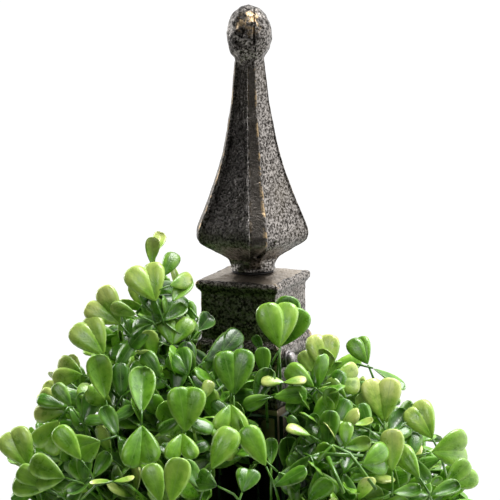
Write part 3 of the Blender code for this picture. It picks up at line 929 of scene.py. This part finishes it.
def growSide(tier, side, seed):
    # fills one side of one tier with sprigs that point out and up
    rng = np.random.default_rng(seed)
    low, high = tiers[tier]
    crown = tier == "crown"
    spacing = sprigShape["crownSpacing" if crown else "spacing"] * mm
    turn = math.radians(sideTurns[side])
    foliage = Foliage("boxwood" + tier.title() + side.title())
    rows = max(2, round((high - low) / spacing))
    for row in range(rows):
        z = low + (high - low) * (row + 0.5) / rows
        reach = bushReach(turn, z)
        if reach < 40 * mm:
            continue
        columns = max(2, round(2 * reach / spacing))
        for column in range(columns):
            share = (column + 0.5 + rng.uniform(-0.35, 0.35)) / columns
            angle = turn + (share - 0.5) * math.pi / 2
            level = z + rng.uniform(-0.4, 0.4) * spacing
            radius = max(30 * mm, bushReach(angle, level) - (sprigShape["inset"] + rng.uniform(0, 14)) * mm)
            steep = math.radians(26 + 30 * max(0.0, (level - 0.64) / 0.14) + rng.uniform(-14, 14))
            if level < low + 20 * mm and tier == "base":
                steep = math.radians(rng.uniform(-15, 15))
            yaw = angle + rng.uniform(-0.35, 0.35)
            flatShare = math.cos(steep)
            heading = Vector((math.cos(yaw) * flatShare, math.sin(yaw) * flatShare, math.sin(steep)))
            tip = Vector((radius * math.cos(angle), radius * math.sin(angle), level))
            length = rng.uniform(*sprigShape["length"]) * mm
            keepOut = legHalf(level) * 1.1 + sprigShape["clearance"] * mm  # clear of the legs
            base = tip - heading * length
            flat = max(abs(base.x), abs(base.y))
            if flat < keepOut:
                length *= max(0.45, 1 - (keepOut - flat) / length)
            growSprig(foliage, tip, heading, length, rng, 1.0)
            inner = tip - heading * sprigShape["innerDepth"] * mm + Vector((0, 0, -6 * mm))
            if max(abs(inner.x), abs(inner.y)) > keepOut + 6 * mm:  # shorter growth further in, toned as if in shade
                growSprig(foliage, inner, heading, sprigShape["innerLength"] * mm, rng, 0.1)
    return foliage


# The sprigs that face the main view, placed one by one: mm across and up from the middle of the view,
# direction (degrees right of up), leaf length, half-angle between the leaves (0 for one leaf), depth in
# front of the usual, tone (the leaf's green, with the lowest tones partly painted shade for leaves that lie in
# shadow), share of new growth, and how far the leaves lean to or from the view (degrees)
frontSprigs = (
    (18, -61, -3, 28, 13, 9, 0.6, 0.1, 8), (19, -60, 10, 31, 0, -5, 0.3, 0.0, 10),
    (19, -60, 33, 27, 0, -4, 0.42, 0.0, 0), (-10, -90, 0, 28, 13, 14, 0.36, 0.0, 5),
    (-12, -95, 180, 19, 24, 10, 0.55, 0.1, -28), (9, -78, -5, 17, 0, 2, 0.35, 0.0, 10),
    (-24, -136, 27, 27, 0, 18, 0.6, 0.1, 0), (10, -134, -28, 27, 0, 14, 0.55, 0.0, 5),
    (8, -63, -28, 11, 0, -2, 0.2, 0.0, 0), (22, -82, -80, 14, 0, 12, 0.6, 0.9, 50),
    (20, -82, 80, 14, 0, 13, 0.6, 0.9, 50), (40, -85, -54, 21, 0, 6, 0.5, 0.05, 10),
    (40, -77, -31, 16, 0, 3, 0.62, 0.4, 10), (13, -90, -112, 17, 0, 8, 0.4, 0.0, 15),
    (14, -91, 84, 20, 0, 8, 0.4, 0.0, 20), (-28, -69, 57, 30, 0, 2, 0.06, 0.0, 35),
    (-18, -64, 40, 20, 0, 0, 0.1, 0.0, 30), (-32, -50, 38, 18, 0, -4, 0.0, 0.0, 35),
    (-58, -32, -22, 25, 16, 4, 0.7, 0.45, 5), (-48, -32, 32, 20, 0, 2, 0.5, 0.1, 12),
    (-50, -22, 74, 19, 0, 4, 0.55, 0.6, 40), (-48, -59, 8, 21, 24, 2, 0.5, 0.15, 15),
    (-61, -9, 4, 16, 0, -6, 0.5, 0.5, 5), (-58, -1, 14, 14, 0, -8, 0.62, 0.85, 20),
    (-54, -17, 26, 18, 0, -8, 0.4, 0.1, 20), (-80, -46, -45, 25, 18, 4, 0.65, 0.7, 5),
    (-70, -40, -72, 16, 0, 6, 0.5, 0.3, 10), (-90, -65, -36, 26, 13, 6, 0.6, 0.45, 8),
    (-89, -93, -12, 28, 0, 12, 0.58, 0.0, 5), (-103, -77, -80, 21, 17, 2, 0.55, 0.6, 25),
    (-67, -101, 1, 28, 0, 16, 0.4, 0.0, 10), (-67, -108, 180, 26, 15, 14, 0.5, 0.0, -25),
    (-114, -100, -74, 21, 20, 2, 0.6, 0.8, 10), (-110, -97, -38, 17, 0, 6, 0.35, 0.1, 10),
    (-118, -105, -150, 23, 13, 4, 0.7, 0.1, 15), (-104, -130, -38, 25, 0, 10, 0.55, 0.0, 5),
    (-136, -135, -28, 25, 9, 2, 0.5, 0.4, 5), (-40, -113, 3, 27, 11, 14, 0.5, 0.0, 5),
    (-29, -93, 20, 13, 0, 10, 0.6, 0.7, 10), (-42, -113, 180, 18, 24, 14, 0.6, 0.0, -28),
    (-114, -141, -80, 25, 14, 10, 0.5, 0.1, 25), (-92, -118, -115, 20, 18, 12, 0.55, 0.0, 15),
    (-85, -143, -84, 13, 0, 16, 0.6, 0.85, 62), (-85, -143, 84, 13, 0, 16, 0.6, 0.85, 62),
    (-49, -157, 12, 27, 0, 22, 0.62, 0.1, 5), (-55, -157, -16, 24, 0, 20, 0.5, 0.1, 8),
    (47, -77, -6, 24, 10, 4, 0.62, 0.75, 5), (73, -71, -25, 18, 9, -2, 0.4, 0.05, 10),
    (50, -82, 78, 21, 17, 6, 0.55, 0.6, 22), (76, -73, 112, 23, 0, 0, 0.3, 0.0, 70),
    (83, -106, -5, 26, 14, 6, 0.62, 0.8, 5), (79, -104, -38, 18, 0, 2, 0.32, 0.2, 10),
    (50, -103, 0, 17, 0, 10, 0.5, 0.0, 0), (63, -108, -82, 12, 0, 12, 0.6, 0.6, 62),
    (63, -108, 80, 12, 0, 12, 0.6, 0.6, 62), (113, -117, -30, 24, 9, 2, 0.6, 0.5, 5),
    (112, -125, 83, 25, 15, 6, 0.55, 0.15, 20), (38, -115, -64, 15, 0, 14, 0.6, 0.8, 50),
    (32, -110, -52, 10, 0, 8, 0.25, 0.0, 10), (34, -111, 40, 11, 0, 8, 0.25, 0.0, 10),
    (13, -133, 0, 15, 0, 6, 0.3, 0.0, 10), (17, -137, 138, 19, 0, 8, 0.25, 0.0, 20),
    (59, -122, 2, 15, 0, 10, 0.45, 0.1, 12), (58, -122, 80, 17, 0, 10, 0.5, 0.2, 25),
    (88, -137, 0, 25, 0, 6, 0.6, 0.6, 15), (105, -141, -35, 23, 0, 8, 0.5, 0.2, 10),
    (69, -133, 76, 20, 18, 12, 0.45, 0.0, 25), (41, -136, 160, 22, 15, 12, 0.42, 0.0, 20),
    (120, -146, 60, 22, 14, 6, 0.5, 0.1, 15), (-125, -148, -70, 22, 14, 4, 0.5, 0.1, 10),
    (-5, -150, 20, 16, 14, 14, 0.3, 0.0, 20), (-20, -146, -70, 15, 16, 12, 0.28, 0.0, 20),
    (-70, -84, 60, 20, 14, 6, 0.35, 0.0, 20), (-55, -80, -50, 20, 16, 4, 0.32, 0.0, 15),
    (-38, -78, -30, 18, 15, 2, 0.3, 0.0, 15), (60, -93, -60, 18, 14, 4, 0.4, 0.2, 15),
)
frontStems = (  # bare stems on the right: places seen, mm
    ((41, -131), (51, -121), (62, -126), (78, -148)), ((43, -126), (70, -127)), ((48, -128), (58, -150)),
)


def frontDepth(across, up):
    # how far the leaves stand in front of the middle plane, mm
    return (44 + 0.75 * max(0.0, -60 - up)) * math.sqrt(max(0.04, 1 - (across / 165) ** 2))


def ownerOf(point):
    # the tier and side that a place belongs to
    tier = "crown" if point.z > 0.6 else "upper"
    degrees = math.degrees(math.atan2(point.y, point.x)) % 360
    side = ("right", "back", "left", "front")[int(((degrees + 45) % 360) // 90)]
    return bushes[tier, side]


def growFront():
    rng = np.random.default_rng(31)
    for across, up, degrees, length, spread, nearer, tone, fresh, lean in frontSprigs:
        depth = frontDepth(across, up) + nearer
        base = placeSeen(across, up, depth)
        foliage = ownerOf(base)
        turn = math.radians(degrees)
        axis = viewAcross * math.sin(turn) + viewUp * math.cos(turn)
        into = (-viewBack * 0.8 - Vector((0, 0, 0.55))).normalized()
        hidden = base + (into * 0.72 - axis * 0.7) * 30 * mm
        stem = [hidden, base + (into * 0.25 - axis * 0.9) * 11 * mm, base]
        foliage.addStem(stem, 0.95 * mm, 0.28)
        for sign in (-1, 1) if spread else (0,):
            along = axis.copy()
            along.rotate(Matrix.Rotation(-math.radians(spread) * sign, 3, viewBack))
            normal = viewBack.copy()
            if lean > 45:  # seen on edge: the upper face turns up
                rise = (viewUp - along * viewUp.dot(along)).normalized()
                normal = viewBack * math.cos(math.radians(lean)) + rise * math.sin(math.radians(lean))
            else:
                tilt = Matrix.Rotation(math.radians(-lean + rng.uniform(-5, 5)), 3, along.cross(normal))
                along.rotate(tilt)
                normal.rotate(tilt)
            normal.rotate(Matrix.Rotation(math.radians(-sign * 10 + rng.uniform(-5, 5)), 3, along))
            size = length * mm * rng.uniform(0.96, 1.04)
            form = heroForms[int(rng.integers(2 if spread else len(heroForms)))]
            width = size * rng.uniform(0.95, 1.08)
            # the table's tone is the leaf's green, and its lowest values are partly painted shade
            shade = tone + rng.uniform(-0.05, 0.05)
            foliage.addLeaf(form, base + along * 0.5 * mm, along, normal, size, width, shade, fresh)
        node = base + (into * 0.3 - axis * 0.9) * 12 * mm  # a second pair, lower on the stem and toned as if in shade
        for sign in (-1, 1) if rng.uniform() < 0.7 else ():
            side = viewAcross * math.cos(turn) - viewUp * math.sin(turn)
            along = side * sign * 0.8 + viewBack * rng.uniform(-0.5, 0.1) + axis * rng.uniform(-0.1, 0.5)
            along = along.normalized()
            normal = (viewUp * 0.6 + viewBack * 0.7).normalized()
            size = rng.uniform(16, 22) * mm
            if outOfView(node + along * size) or outOfView(node + along * size * 0.5):
                continue
            form = leafForms[int(rng.integers(len(leafForms)))]
            foliage.addLeaf(form, node, along, normal, size, size, tone * 0.5, 0.0)
    for line in frontStems:
        points = [placeSeen(across, up, frontDepth(across, up) + 18) for across, up in line]
        ownerOf(points[0]).addStem(points, 1.6 * mm, 0.3)


print("stage: finial and cap")
makeFinial()
makeCapBlock()
makeBolts()
makeGasket()
print("stage: legs")
makeLegs()

print("stage: boxwood")
bushes = {}
for t, tier in enumerate(tiers):
    for s, side in enumerate(sideTurns):
        bushes[tier, side] = growSide(tier, side, 100 * t + 10 * s + 7)

growFront()
for (tier, side), foliage in bushes.items():
    piece = foliage.build()
    finishPiece(piece, boxwoodLeaf, "frame", "boxwood", "boxwood_" + tier + "_" + side)

print("stage: carried-over parts")
finishes = (
    ("rail_", blackIron), ("foot_plate_", blackIron), ("leg_crown", blackIron), ("boxwood_mat_", gridPlastic),
    ("stud_", dullSteel), ("finial_stud", dullSteel),
)
for name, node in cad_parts.items():
    for start, material in finishes:
        if name.startswith(start):
            for slot in node.material_slots:
                slot.material = material


def makeFloor():
    radius = studio["floorRadius"]
    bpy.ops.mesh.primitive_cylinder_add(vertices=96, radius=radius, depth=0.02, location=(0, 0, -0.0102))
    floor = bpy.context.object
    floor.name = "floor"
    made, tree, shader = newMaterial("paleFloor")
    tint = noiseNode(tree, objectPlace(tree), 3, 3, 0.5)
    pale = ramp(tree, tint, [(0.3, (0.80, 0.80, 0.79)), (0.7, (0.84, 0.84, 0.83))])
    tree.links.new(pale, shader.inputs["Base Color"])
    shader.inputs["Roughness"].default_value = 0.7
    floor.data.materials.append(made)


def makeWorld():
    # white surroundings that light the object mostly from behind and from the right
    world = bpy.data.worlds.new("studio")
    bpy.context.scene.world = world
    world.use_nodes = True
    tree = world.node_tree
    tree.nodes.clear()
    place = tree.nodes.new("ShaderNodeTexCoord").outputs["Generated"]
    away = tree.nodes.new("ShaderNodeVectorMath")
    away.operation = "DOT_PRODUCT"
    away.inputs[1].default_value = -viewToward * 0.55 + viewRight * 0.75 + Vector((0, 0, 0.25))
    tree.links.new(place, away.inputs[0])
    light = ramp(tree, away.outputs["Value"], [(0.0, 0.02), (0.3, 0.2), (0.65, 1.55)])
    lit = addNode(tree, "ShaderNodeBackground", Strength=1.0)
    tree.links.new(light, lit.inputs["Color"])
    seen = addNode(tree, "ShaderNodeBackground", Color=(1, 1, 1, 1), Strength=1.05)
    path = tree.nodes.new("ShaderNodeLightPath")
    mix = tree.nodes.new("ShaderNodeMixShader")
    tree.links.new(path.outputs["Is Camera Ray"], mix.inputs[0])
    tree.links.new(lit.outputs[0], mix.inputs[1])
    tree.links.new(seen.outputs[0], mix.inputs[2])
    output = tree.nodes.new("ShaderNodeOutputWorld")
    tree.links.new(mix.outputs[0], output.inputs["Surface"])


lamps = {  # metres right, toward the main view and up from the aim, then width and height, then watts
    "softRight": ((1.9, -0.2, 0.6), (1.0, 1.7), 11),
    "softTop": ((0.6, -0.1, 1.8), (1.2, 1.0), 56),
    "rimLeft": ((-1.5, -1.2, 0.6), (0.7, 1.4), 30),
    "softFront": ((-0.5, 1.9, 1.5), (0.7, 0.5), 8),
}


def makeLights():
    aim = Vector((0, 0, studio["aim"]))
    for name, ((right, toward, up), size, watts) in lamps.items():
        place = aim + viewRight * right + viewToward * toward + Vector((0, 0, up))
        bpy.ops.object.light_add(type="AREA", location=place)
        lamp = bpy.context.object
        lamp.name = name
        lamp.data.shape = "RECTANGLE"
        lamp.data.size, lamp.data.size_y = size
        lamp.data.energy = watts
        lamp.rotation_euler = (aim - place).to_track_quat("-Z", "Y").to_euler()


def makeCamera():
    bpy.ops.object.camera_add(location=viewTarget + viewBack * studio["distance"])
    camera = bpy.context.object
    camera.rotation_euler = viewFrame.to_euler()
    camera.data.sensor_width = studio["sensor"]
    camera.data.lens = studio["sensor"] * studio["distance"] / studio["frameWidth"]
    bpy.context.scene.camera = camera


print("stage: studio")
makeFloor()
makeWorld()
makeLights()
makeCamera()
bpy.context.scene.view_settings.view_transform = "Standard"
